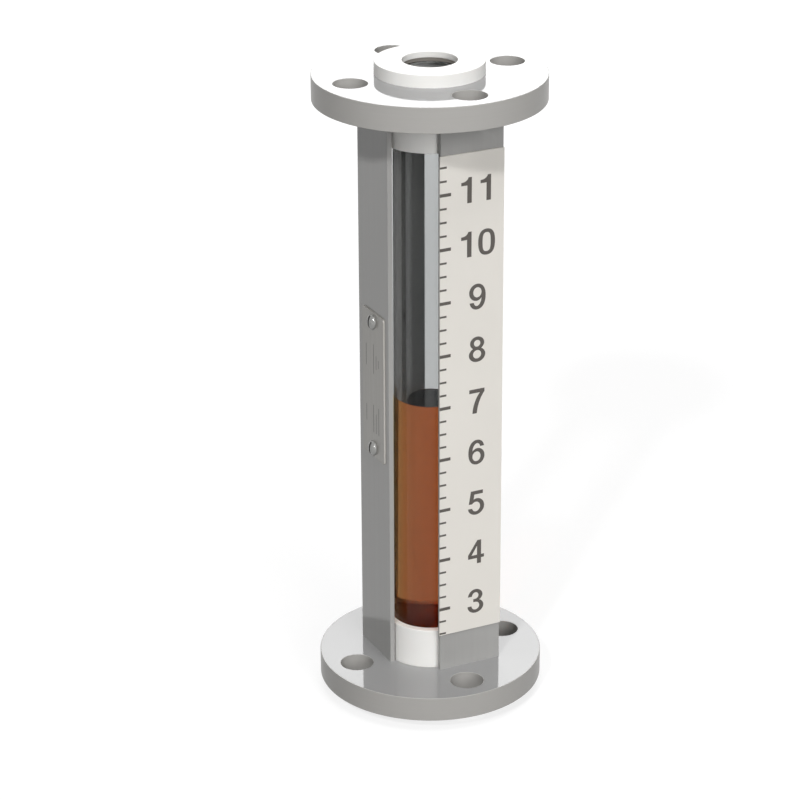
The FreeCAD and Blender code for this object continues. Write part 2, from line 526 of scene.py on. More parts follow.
    def finish(self, shader: Node, volume: Node | None = None) -> Material | bpy.types.World:
        """Wire the shader to the output.

        Args:
            shader: The surface's shader node.
            volume: The inside's shader node, if it has one.

        Returns:
            The finished material or world.
        """
        self.tree.links.new(shader.outputs[0], self.output.inputs["Surface"])
        if volume is not None:
            self.tree.links.new(volume.outputs[0], self.output.inputs["Volume"])
        return self.owner


def scaled(color: Color, share: float) -> Color:
    """A colour made lighter or darker by a share."""
    return (color[0] * share, color[1] * share, color[2] * share)


class Lay(Enum):
    """Which way a worked surface's fine lines run, as waves per metre along X, Y and Z.

    RINGS has none, because they run round the axis and lathe_rings makes them.
    """

    UPRIGHT = (650.0, 650.0, 9.0)
    RINGS = (0.0, 0.0, 0.0)
    ALONG_RIM = (14.0, 14.0, 1500.0)


@dataclass(frozen=True)
class WorkedSteel:
    """Steel with the fine lines that rolling, turning or brushing leaves."""

    name: str
    color: Color
    roughness: float
    metallic: float = 0.0
    lay: Lay = Lay.UPRIGHT
    line_depth: float = 0.000001
    line_contrast: float = 0.05
    gloss: float = 0.3
    line_share: float = 0.6
    cloud_scale: Triple = (22.0, 22.0, 14.0)
    mark_scale: Triple = (170.0, 170.0, 120.0)
    mark_range: tuple[float, float] = (0.55, 0.8)
    mark_haze: float = 0.07
    gloss_swing: float = 0.03

    def material(self) -> Material:
        """Build the node material.

        Returns:
            A metal with fine lines, soft clouding and faint handling marks.
        """
        board = NodeBoard(self.name)
        if self.lay is Lay.RINGS:
            lines = board.lathe_rings()
        else:
            lines = board.noise(self.lay.value, 4.0)
        marks = board.noise(self.mark_scale, 5.0)
        tone = board.weighed(lines, board.noise(self.cloud_scale), self.line_share)
        color = board.blend(board.spread(tone, 0.0, 1.0),
                            scaled(self.color, 1.0 - self.line_contrast),
                            scaled(self.color, 1.0 + self.line_contrast))
        dulled = board.math("ADD", board.spread(lines, -self.gloss_swing, self.gloss_swing),
                            board.spread(marks, 0.0, self.mark_haze, *self.mark_range))
        roughness = board.math("ADD", dulled, self.roughness)
        shader = board.add("BsdfPrincipled", Base_Color=color, Metallic=self.metallic,
                           Roughness=roughness, Specular_IOR_Level=self.gloss,
                           Normal=board.bump(lines, self.line_depth))
        return board.finish(shader)


@dataclass(frozen=True)
class ClearGlass:
    """Thick drawn glass with a faint tint and hardly visible draw lines."""

    name: str = "tube_glass"
    tint: Color = (0.655, 0.665, 0.665)
    index: float = 1.5
    reflected: float = 0.25
    light_share: float = 0.85
    draw_scale: Triple = (90.0, 90.0, 1.2)
    draw_depth: float = 0.00001
    draw_strength: float = 0.4
    touch_scale: Triple = (60.0, 60.0, 35.0)
    touch_range: tuple[float, float] = (0.5, 0.8)
    touch_haze: float = 0.02

    def material(self) -> Material:
        """Build the node material.

        Returns:
            Clear glass whose surface waves a little along the way it was drawn.
        """
        board = NodeBoard(self.name)
        draw_lines = board.noise(self.draw_scale, 1.0)
        touched = board.noise(self.touch_scale)
        shader = board.add("BsdfPrincipled", Base_Color=(*self.tint, 1.0), IOR=self.index,
                           Transmission_Weight=1.0,
                           Specular_Tint=(*[self.reflected] * 3, 1.0),
                           Roughness=board.spread(touched, 0.0, self.touch_haze,
                                                  *self.touch_range),
                           Normal=board.bump(draw_lines, self.draw_depth,
                                             self.draw_strength))
        return board.finish(board.lets_light_in(shader, (self.light_share,) * 3))


@dataclass(frozen=True)
class AmberLiquid:
    """Clear orange-brown liquid that darkens with depth."""

    name: str = "amber_liquid"
    index: float = 1.4
    absorbed: Color = (0.787, 0.2, 0.093)
    density: float = 75.0
    body: Color = (0.82, 0.61, 0.24)
    reflected: float = 0.2
    ripple_scale: Triple = (45.0, 45.0, 45.0)
    ripple_depth: float = 0.00001
    ripple_strength: float = 0.3

    def material(self) -> Material:
        """Build the node material.

        Returns:
            A clear surface with an absorbing inside.
        """
        board = NodeBoard(self.name)
        ripple = board.noise(self.ripple_scale, 1.0)
        shader = board.add("BsdfPrincipled", Base_Color=(*self.body, 1.0), IOR=self.index,
                           Roughness=0.0, Transmission_Weight=1.0,
                           Specular_Tint=(*[self.reflected] * 3, 1.0),
                           Normal=board.bump(ripple, self.ripple_depth,
                                             self.ripple_strength))
        inside = board.add("VolumeAbsorption", Color=(*self.absorbed, 1.0),
                           Density=self.density)
        return board.finish(board.lets_light_in(shader, self.body), inside)


@dataclass(frozen=True)
class WaxyPolymer:
    """Turned white fluoropolymer with fine lathe lines."""

    name: str = "white_polymer"
    color: Color = (0.86, 0.85, 0.825)
    roughness: tuple[float, float] = (0.33, 0.45)
    turn_share: float = 0.5
    turn_scale: Triple = (8.0, 8.0, 2400.0)
    line_depth: float = 0.000006
    cloud_scale: Triple = (35.0, 35.0, 35.0)
    cloud_share: float = 0.955
    depth_share: float = 0.08
    depth_reach: float = 0.002
    depth_tint: Color = (1.0, 0.88, 0.78)

    def material(self) -> Material:
        """Build the node material.

        Returns:
            A waxy white with lathe lines and slight clouding.
        """
        board = NodeBoard(self.name)
        turns = board.noise(self.turn_scale, 2.0)
        lines = board.weighed(turns, board.lathe_rings(), self.turn_share)
        color = board.clouded(self.color, self.cloud_scale, self.cloud_share)
        shader = board.add("BsdfPrincipled", Base_Color=color,
                           Roughness=board.spread(lines, *self.roughness),
                           Subsurface_Weight=self.depth_share,
                           Subsurface_Scale=self.depth_reach,
                           Subsurface_Radius=self.depth_tint,
                           Normal=board.bump(lines, self.line_depth))
        return board.finish(shader)


@dataclass(frozen=True)
class MattCoat:
    """A matt or satin coat of rubber, paint or enamel with a fine grain."""

    name: str
    color: Color
    roughness: float
    grain: float
    depth: float
    cloud_scale: Triple = (28.0, 28.0, 18.0)
    cloud_share: float = 0.96
    gloss_swing: float = 0.05

    def material(self) -> Material:
        """Build the node material.

        Returns:
            An even coat with fine grain, slight clouding and uneven gloss.
        """
        board = NodeBoard(self.name)
        grain = board.noise((self.grain,) * 3)
        color = board.clouded(self.color, self.cloud_scale, self.cloud_share)
        swing = board.spread(grain, -self.gloss_swing, self.gloss_swing)
        roughness = board.math("ADD", swing, self.roughness)
        shader = board.add("BsdfPrincipled", Base_Color=color, Roughness=roughness,
                           Normal=board.bump(grain, self.depth))
        return board.finish(shader)


@dataclass(frozen=True)
class PaleGround:
    """The floor: pale near the gauge and white further out, with the shadow kept."""

    name: str = "pale_floor"
    color: Color = (0.9, 0.9, 0.9)
    own_light: float = 0.78
    taken_light: float = 0.3
    shadow_reach: float = 0.6
    white_from: float = 1.4
    grain_scale: Triple = (40.0, 40.0, 40.0)
    grain_share: float = 0.985

    def material(self) -> Material:
        """Build the node material.

        Returns:
            A matt ground that also shines for camera, gloss and glass.
        """
        board = NodeBoard(self.name)
        grain = board.noise(self.grain_scale, 2.0)
        tone = board.blend(grain, scaled(self.color, self.taken_light),
                           scaled(self.color, self.taken_light * self.grain_share))
        matt = board.add("BsdfDiffuse", Color=tone)
        own_light = board.spread(board.ring_radius(), self.own_light, 1.0,
                                 self.shadow_reach, self.white_from)
        seen = seen_as_background(board)
        glow = board.add("Emission", Strength=board.math("MULTIPLY", seen, own_light))
        both = board.add("AddShader")
        board.tree.links.new(matt.outputs[0], both.inputs[0])
        board.tree.links.new(glow.outputs[0], both.inputs[1])
        return board.finish(both)


def seen_as_background(board: NodeBoard) -> Socket:
    """Tell the rays that see the background from those that light the object.

    Args:
        board: The node tree that asks.

    Returns:
        1 for rays from the camera, off gloss or through glass, and 0 for all others.
    """
    path = board.add("LightPath")
    direct = board.math("MAXIMUM", path.outputs["Is Camera Ray"], path.outputs["Is Glossy Ray"])
    return board.math("MAXIMUM", direct, path.outputs["Is Transmission Ray"])


Finish = WorkedSteel | ClearGlass | AmberLiquid | WaxyPolymer | MattCoat


def made(finish: Finish) -> Material:
    """A dataclass field whose value is a finish's material."""
    return field(default_factory=finish.material)


@dataclass(frozen=True)
class Finishes:
    """Every finish of the gauge, one material each."""

    side_steel: Material = made(WorkedSteel(
        "steel_rolled", (0.372, 0.368, 0.358), 0.14, line_depth=0.0000005,
        line_contrast=0.03))
    rim_steel: Material = made(WorkedSteel(
        "steel_turned_rim", (0.405, 0.395, 0.378), 0.35, lay=Lay.ALONG_RIM,
        line_contrast=0.02, gloss=0.2))
    face_steel: Material = made(WorkedSteel(
        "steel_polished_face", (0.34, 0.34, 0.34), 0.05, metallic=0.1, lay=Lay.RINGS,
        line_depth=0.0000004, line_contrast=0.03, gloss=0.5))
    glass: Material = made(ClearGlass())
    liquid: Material = made(AmberLiquid())
    liquid_top: Material = made(AmberLiquid("amber_liquid_top", reflected=1.0))
    polymer: Material = made(WaxyPolymer())
    rubber: Material = made(MattCoat(
        "seal_rubber", (0.2, 0.185, 0.165), 0.7, 2500.0, 0.00001))
    enamel: Material = made(MattCoat(
        "scale_enamel", (0.795, 0.765, 0.712), 0.38, 1800.0, 0.000003))
    paint: Material = made(MattCoat(
        "scale_print", (0.085, 0.075, 0.066), 0.55, 3000.0, 0.000004))
    plate_print: Material = made(MattCoat(
        "nameplate_rule_paint", (0.09, 0.088, 0.084), 0.5, 3000.0, 0.000002))
    # Near black for the faces inside the screws' slots: painted shade in the recess
    slot_grime: Material = made(MattCoat(
        "screw_slot_painted_shade", (0.07, 0.068, 0.064), 0.7, 3000.0, 0.000004))
    plate_steel: Material = made(WorkedSteel(
        "nameplate_brushed", (0.378, 0.366, 0.34), 0.2, metallic=0.05))
    # Lighter than the plate's own colour: a painted highlight on its long edges
    plate_edge: Material = made(WorkedSteel(
        "nameplate_long_edge_painted_highlight", (0.61, 0.59, 0.555), 0.22, metallic=0.1))
    screw_steel: Material = made(WorkedSteel(
        "screw_polished", (0.32, 0.32, 0.31), 0.16, metallic=0.3, line_contrast=0.04))


def dress(piece: Piece, *finishes: Material) -> None:
    """Give a piece its finishes.

    Args:
        piece: The mesh to dress.
        finishes: Its materials, in slot order.
    """
    piece.data.materials.clear()
    for finish in finishes:
        piece.data.materials.append(finish)


def fit_on(piece: Piece, slot: str, finishes: Sequence[Material], *nodes: str,
           crease: float | None = 50.0,
           on_second: Callable[[bpy.types.MeshPolygon], bool] | None = None) -> None:
    """Shade and dress a finished piece, parent it to the body's empty and report it.

    Args:
        piece: The finished mesh, at its place.
        slot: The record's material slot that it belongs to; not used.
        finishes: Its materials, one or two.
        nodes: CAD nodes that it stands for.
        crease: Edges sharper than this stay sharp. None leaves the whole piece flat.
        on_second: Says which faces get the second finish.
    """
    if crease is not None:
        smooth_off(piece, crease)
    dress(piece, *finishes)
    if on_second is not None:
        for face in piece.data.polygons:
            face.material_index = int(on_second(face))
    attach(piece, BODY)
    if nodes:
        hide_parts(*nodes)
    piece.data.calc_loop_triangles()
    log.info("%s: %d triangles, stands for %s", piece.name,
             len(piece.data.loop_triangles), ", ".join(nodes) or "nothing")


def dress_node(node: str, finish: Material) -> None:
    """Give a CAD node that stays as it is its finish.

    Args:
        node: The node's name.
        finish: The material for it.
    """
    dress(bpy.data.objects[node], finish)
    log.info("%s: CAD node, dressed as %s", node, finish.name)


# Sub-assemblies


@dataclass
class PipeFlanges:
    """The two flanges: turned discs with four bolt holes and polished flat faces."""

    diameter: float = 108.0
    thickness: float = 12.0
    bore: float = 44.8
    bolt_circle: float = 79.4
    bolt_hole: float = 15.9
    bolt_count: int = 4
    edge_radius: float = 0.3
    hole_flare: float = 0.2
    flare_belly: float = 0.35
    hole_segments: int = 96
    lower_faces: tuple[float, float] = (6.0, 298.8)
    segments: int = 256

    def bolt_cutter(self, angle: float, bottom: float) -> Piece:
        """Make the cutter of one bolt hole, flared where it breaks the flat faces.

        Args:
            angle: The hole's place on the bolt circle, in radians.
            bottom: Height of the flange's lower face.

        Returns:
            The cutter, at its place.
        """
        hole, flare, top = self.bolt_hole / 2.0, self.hole_flare, bottom + self.thickness
        belly = flare * self.flare_belly
        cutter = turned_piece("bolt_cutter", [
            (hole + 2 * flare, bottom - flare), (hole + flare, bottom),
            (hole + belly, bottom + belly), (hole, bottom + flare),
            (hole, top - flare), (hole + belly, top - belly),
            (hole + flare, top), (hole + 2 * flare, top + flare),
        ], self.hole_segments, capped=True)
        reach = self.bolt_circle / 2.0 * MM
        cutter.location = (reach * math.cos(angle), reach * math.sin(angle), 0.0)
        settle(cutter)
        return cutter

    def disc(self, name: str, bottom: float) -> Piece:
        """Turn one flange and drill it.

        Args:
            name: The piece's name.
            bottom: Height of its lower face.

        Returns:
            The drilled disc.
        """
        inner, outer, top = self.bore / 2.0, self.diameter / 2.0, bottom + self.thickness
        disc = turned_piece(name, [(inner, bottom), (outer, bottom), (outer, top),
                                   (inner, top)], self.segments)
        round_edges(disc, self.edge_radius)
        for hole in range(self.bolt_count):
            cut_away(disc, self.bolt_cutter(math.tau * hole / self.bolt_count, bottom))
        return disc

    def build(self, finishes: Finishes) -> None:
        """Make and dress both flanges.

        Args:
            finishes: The gauge's finishes.
        """
        for node, bottom in zip(("bottom_flange", "top_flange"), self.lower_faces):
            fit_on(self.disc(node + "_turned", bottom), "steel",
                   (finishes.rim_steel, finishes.face_steel), node,
                   on_second=lambda face: abs(face.normal.z) > FLAT)


@dataclass
class ArmorAngles:
    """The two steel angles that stand round the tube, corner to corner."""

    inner: float = 22.6
    thickness: float = 2.4
    toe: float = 7.0
    edge_radius: float = 0.3
    root_radius: float = 2.0
    root_steps: int = 6
    bottom: float = 18.0
    top: float = 298.8

    def bar(self, name: str) -> Piece:
        """Build the angle whose corner stands at (-X, +Y).

        Args:
            name: The piece's name.

        Returns:
            The closed bar with its edges rounded.
        """
        clear_selection()
        middle = self.inner + self.thickness / 2.0
        bpy.ops.mesh.primitive_plane_add(
            size=self.thickness * MM, location=(-middle * MM, middle * MM, self.bottom * MM))
        bar = bpy.context.object
        bar.name = bar.data.name = name
        settle(bar)
        leg = self.inner + self.toe
        pick_vertices(bar, lambda place: place.x > -middle)
        with edit_mode(bar):
            extrude(bpy.ops.mesh.extrude_edges_move, (leg, 0.0, 0.0))
        pick_vertices(bar, lambda place: place.y < middle and place.x < 0.0)
        with edit_mode(bar):
            extrude(bpy.ops.mesh.extrude_edges_move, (0.0, -leg, 0.0))
            bpy.ops.mesh.select_all(action="SELECT")
            extrude(bpy.ops.mesh.extrude_region_move, (0.0, 0.0, self.top - self.bottom))
            face_outwards()
        outer = self.inner + self.thickness
        round_marked(bar, [(-self.inner, self.inner)], upright_of, self.root_radius,
                     self.root_steps)
        round_marked(bar, [(-outer, -self.toe), (-self.inner, -self.toe),
                           (self.toe, self.inner), (self.toe, outer), (-outer, outer)],
                     upright_of, self.edge_radius)
        return bar

    def build(self, finishes: Finishes) -> None:
        """Make and dress both angles, the right one as the left one turned half round.

        Args:
            finishes: The gauge's finishes.
        """
        for node, turn in (("left_armor_angle", 0.0), ("right_armor_angle", math.pi)):
            bar = self.bar(node + "_rolled")
            bar.rotation_euler = (0.0, 0.0, turn)
            settle(bar)
            fit_on(bar, "steel", (finishes.side_steel,), node)


@dataclass
class SightTube:
    """The glass, its end bushes and gaskets, and the liquid in it."""

    glass_radius: float = 18.5
    bore_radius: float = 11.25
    glass_ends: tuple[float, float] = (4.5, 312.3)
    bush_bore: float = 12.7
    head_radius: float = 25.4
    body_radius: float = 22.2
    socket_radius: float = 18.7
    head: float = 6.0
    lip: float = 3.0
    body_end: float = 37.6
    overall: float = 316.8
    bush_edge: float = 0.3
    glass_edge: float = 0.5
    liquid_foot: float = 0.5
    liquid_level: float = 151.5
    wetted_overlap: float = 0.03
    meniscus: tuple[tuple[float, float], ...] = (
        (0.0, 0.15), (0.1, 0.07), (0.25, 0.02), (0.5, 0.0))
    meniscus_crease: float = 35.0
    surface_depth: float = 0.2
    segments: int = 192

    def bush_outline(self) -> list[tuple[float, float]]:
        """The lower bush's outline, from the face that the gauge stands on upwards."""
        return [
            (self.bush_bore, 0.0), (self.head_radius, 0.0), (self.head_radius, self.head),
            (self.body_radius, self.head), (self.body_radius, self.body_end),
            (self.socket_radius, self.body_end), (self.socket_radius, self.lip),
            (self.bush_bore, self.lip),
        ]

    def bushes(self, finish: Material) -> None:
        """Turn both bushes, the upper one as the lower one end for end.

        Args:
            finish: The white polymer.
        """
        lower = self.bush_outline()
        upper = [(radius, self.overall - height) for radius, height in lower]
        for node, outline in (("bottom_end_bush", lower), ("top_end_bush", upper)):
            bush = turned_piece(node + "_turned", outline, self.segments)
            round_marked(bush, outline[:2] + outline[4:], ring_of, self.bush_edge)
            fit_on(bush, "white_polymer", (finish,), node)

    def glass(self, finish: Material) -> None:
        """Make the tube with fire-polished ends.

        Args:
            finish: The glass.
        """
        bottom, top = self.glass_ends
        tube = turned_piece("glass_tube_drawn", [
            (self.bore_radius, bottom), (self.glass_radius, bottom),
            (self.glass_radius, top), (self.bore_radius, top)], self.segments)
        round_edges(tube, self.glass_edge)
        fit_on(tube, "tube_glass", (finish,), "glass_tube")

    def liquid(self, finish: Material, top_finish: Material) -> None:
        """Make the column with its meniscus, wetted a hair into the glass.

        Args:
            finish: The liquid where it wets a wall.
            top_finish: The liquid's free surface.
        """
        wall = self.bore_radius + self.wetted_overlap
        column = turned_piece("amber_column", [
            (self.bush_bore + self.wetted_overlap, self.liquid_foot),
            (self.bush_bore + self.wetted_overlap, self.glass_ends[0]),
            (wall, self.glass_ends[0]),
        ] + [(wall - inward, self.liquid_level + rise) for inward, rise in self.meniscus],
            self.segments, capped=True)
        surface = (self.liquid_level - self.surface_depth) * MM
        fit_on(column, "amber_liquid", (finish, top_finish), "process_liquid",
               crease=self.meniscus_crease, on_second=lambda face: face.center.z > surface)

    def build(self, finishes: Finishes) -> None:
        """Make and dress the tube's pieces and dress the CAD gaskets.

        Args:
            finishes: The gauge's finishes.
        """
        self.bushes(finishes.polymer)
        self.glass(finishes.glass)
        self.liquid(finishes.liquid, finishes.liquid_top)
        for node in ("bottom_seat_gasket", "top_seat_gasket"):
            dress_node(node, finishes.rubber)


Corner = tuple[float, float]
Bend = tuple[float, float, float, float, float, float]
Loop = tuple[Corner | Bend, ...]
# A digit's box, in hundredths of its height
BOX_WIDTH = 70
BOX_HEIGHT = 100


def oval(x: float, y: float, half_width: float, half_height: float, fullness: float) -> Loop:
    """An oval loop whose sides are fuller the larger its fullness.

    Args:
        x: Its middle, across the digit.
        y: Its middle, up the digit.
        half_width: Half its width.
        half_height: Half its height.
        fullness: Handle length as a share of the half width or height.

    Returns:
        Four bends, from the top round by the left.
    """
    across, along = half_width * fullness, half_height * fullness
    return ((x, y + half_height, 180, across, 180, across),
            (x - half_width, y, 270, along, 270, along),
            (x, y - half_height, 0, across, 0, across),
            (x + half_width, y, 90, along, 90, along))


def half_turned(loops: Sequence[Loop]) -> tuple[Loop, ...]:
    """The same loops turned half round the middle of a digit's box.

    Args:
        loops: A digit's loops.

    Returns:
        The turned loops.
    """
    def turned(node: Corner | Bend) -> Corner | Bend:
        """Turn one corner or bend."""
        place = (BOX_WIDTH - node[0], BOX_HEIGHT - node[1])
        return place if len(node) == 2 else (
            *place, node[2] + 180, node[3], node[4] + 180, node[5])

    return tuple(tuple(turned(node) for node in loop) for loop in loops)


SIX: tuple[Loop, ...] = (
    ((66.5, 73, 97, 0, 97, 16), (37, 101.5, 180, 16, 180, 24), (1.5, 47, 270, 32, 270, 30),
     (35.5, -1.5, 0, 20, 0, 19), (68.5, 33, 90, 19, 90, 19), (38.5, 66.5, 180, 16, 180, 9),
     (18.3, 55.5, 235, 6, 88, 17), (37, 87.5, 0, 10, 0, 7), (49.5, 73, 275, 8, 0, 0)),
    oval(35.2, 32.8, 16.8, 20.2, 0.56),
)

DIGITS: dict[str, tuple[Loop, ...]] = {
    "0": (oval(35, 50, 34, 51.5, 0.68), oval(35, 50, 16.5, 37.5, 0.78)),
    "1": (((51, 0), (51, 100), (37.5, 100, 0, 0, 262, 10), (9, 82, 180, 17, 0, 0), (9, 69.5),
           (33, 69.5), (33, 0)),),
    "3": (((2.8, 71, 0, 0, 85, 16), (34, 101.5, 0, 17, 0, 16), (64.3, 74.5, 270, 15, 270, 10),
           (50, 53.3, 200, 7, 342, 8), (68.3, 28.5, 270, 12, 270, 17),
           (34.3, -1.5, 180, 19, 180, 19), (1.2, 29, 88, 16, 0, 0), (17.8, 29, 0, 0, 275, 9),
           (34.3, 12.5, 0, 9, 0, 9.5), (51, 29.3, 90, 9, 90, 10), (33, 45.8, 180, 9.5, 180, 0),
           (25.5, 45.8), (25.5, 59), (33, 59, 0, 0, 0, 8), (47.3, 73.5, 90, 8, 90, 8),
           (34, 87.6, 180, 7.5, 180, 8.5), (19.3, 71, 265, 8, 0, 0)),),
    "4": (((40, 0), (57, 0), (57, 23), (69.5, 23), (69.5, 37), (57, 37), (57, 100), (41, 100),
           (2.5, 40), (2.5, 23), (40, 23)), ((40, 37), (16.5, 37), (40, 76))),
    "5": (((13, 100), (4, 45.5), (18.5, 45.5, 0, 0, 50, 6), (34.5, 53.5, 0, 8, 0, 10),
           (51.5, 33, 270, 11, 270, 12), (33.5, 12.5, 180, 9, 180, 8),
           (18.5, 26.5, 95, 7, 0, 0), (1.3, 26.5, 0, 0, 272, 15), (33.5, -1.5, 0, 18, 0, 20),
           (68.5, 33.5, 90, 19, 90, 20), (37.5, 67.5, 180, 17, 180, 7),
           (24.3, 63.5, 212, 5, 0, 0), (27.2, 85), (63, 85), (63, 100)),),
    "6": SIX,
    "7": (((4, 100), (4, 84.5), (48, 84.5, 0, 0, 228, 24), (17.5, 0, 268, 32, 0, 0),
           (35.5, 0, 0, 0, 86, 33), (66.5, 86, 50, 24, 0, 0), (66.5, 100)),),
    "8": (((35, 101.5, 180, 16, 180, 16), (6, 74.5, 270, 15, 270, 10),
           (18, 53, 315, 7, 205, 7), (1.5, 28.5, 270, 12, 270, 17),
           (35, -1.5, 0, 19, 0, 19), (68.5, 28.5, 90, 17, 90, 12),
           (52, 53, 155, 7, 45, 7), (64, 74.5, 90, 10, 90, 15)),
          oval(35, 74.2, 13, 13.6, 0.56), oval(35, 29.6, 16.6, 17, 0.56)),
    "9": half_turned(SIX),
}


@dataclass
class ScaleStrip:
    """The enamelled scale: the CAD plate and lines, and the numbers painted beside them."""

    face: float = -25.8
    lowest_height: float = 51.1
    unit: float = 26.19
    lowest_value: int = 3
    highest_value: int = 11
    digit_height: float = 12.3
    digit_stretch: float = 1.035
    # From one digit's box to the next, in hundredths of the height
    digit_step: float = 77.0
    curve_steps: int = 10
    above_line: float = 0.65
    paint_thickness: float = 0.05
    single_center: float = 11.6
    double_start: float = 1.9

    def number(self, value: int) -> Piece:
        """Draw one number's outlines, fill them and stand them on the plate's face.

        Args:
            value: The number to write.

        Returns:
            The number as a thin closed mesh at its place.
        """
        clear_selection()
        curve = bpy.data.curves.new(f"number_{value}", "CURVE")
        curve.dimensions, curve.fill_mode = "2D", "BOTH"
        curve.resolution_u = self.curve_steps
        scale = self.digit_height / BOX_HEIGHT * MM
        digits = str(value)
        double = len(digits) > 1
        start = 0.0 if double else -BOX_WIDTH / 2.0
        for place, digit in enumerate(digits):
            for loop in DIGITS[digit]:
                self.draw_loop(curve, loop, start + place * self.digit_step, scale)
        curve.extrude = self.paint_thickness / 2.0 * MM
        number = bpy.data.objects.new(curve.name, curve)
        bpy.context.scene.collection.objects.link(number)
        take_up(number)
        bpy.ops.object.convert(target="MESH")
        with edit_mode(number):
            bpy.ops.mesh.select_all(action="SELECT")
            bpy.ops.mesh.remove_doubles(threshold=WELD)
            face_outwards()
        across = self.double_start if double else self.single_center
        height = self.lowest_height + self.unit * (value - self.lowest_value)
        number.rotation_euler = (math.pi / 2.0, 0.0, 0.0)
        number.location = (across * MM, (self.face - self.paint_thickness / 2.0) * MM,
                           (height + self.above_line - self.digit_height / 2.0) * MM)
        settle(number)
        return number

    def draw_loop(self, curve: bpy.types.Curve, loop: Loop, start: float, scale: float) -> None:
        """Add one closed loop to a flat curve.

        Args:
            curve: The curve that takes the loop.
            loop: Corners as (x, y) and bends as (x, y, direction and handle length going
                in, direction and handle length going out), in hundredths of the height.
            start: Where the digit's box starts, in hundredths of the height.
            scale: Metres for one hundredth of the height.
        """
        spline = curve.splines.new("BEZIER")
        spline.bezier_points.add(len(loop) - 1)
        spline.use_cyclic_u = True
        for point, node in zip(spline.bezier_points, loop):
            bends = node[2:] if len(node) == 6 else (0.0, 0.0, 0.0, 0.0)
            place = Vector((node[0] + start, node[1]))
            handles = [place + way * length * Vector((math.cos(math.radians(angle)),
                                                      math.sin(math.radians(angle))))
                       for way, angle, length in ((-1, *bends[:2]), (1, *bends[2:]))]
            point.handle_left_type = point.handle_right_type = "FREE"
            point.co, point.handle_left, point.handle_right = (
                (spot.x * scale * self.digit_stretch, spot.y * scale, 0.0)
                for spot in (place, *handles))

    def build(self, finishes: Finishes) -> None:
        """Write the numbers and dress the CAD plate and lines.

        Args:
            finishes: The gauge's finishes.
        """
        numbers = joined("scale_numbers", [
            self.number(value) for value in range(self.lowest_value, self.highest_value + 1)])
        fit_on(numbers, "scale_print", (finishes.paint,), crease=None)
        dress_node("scale_plate", finishes.enamel)
        dress_node("scale_graduations", finishes.paint)


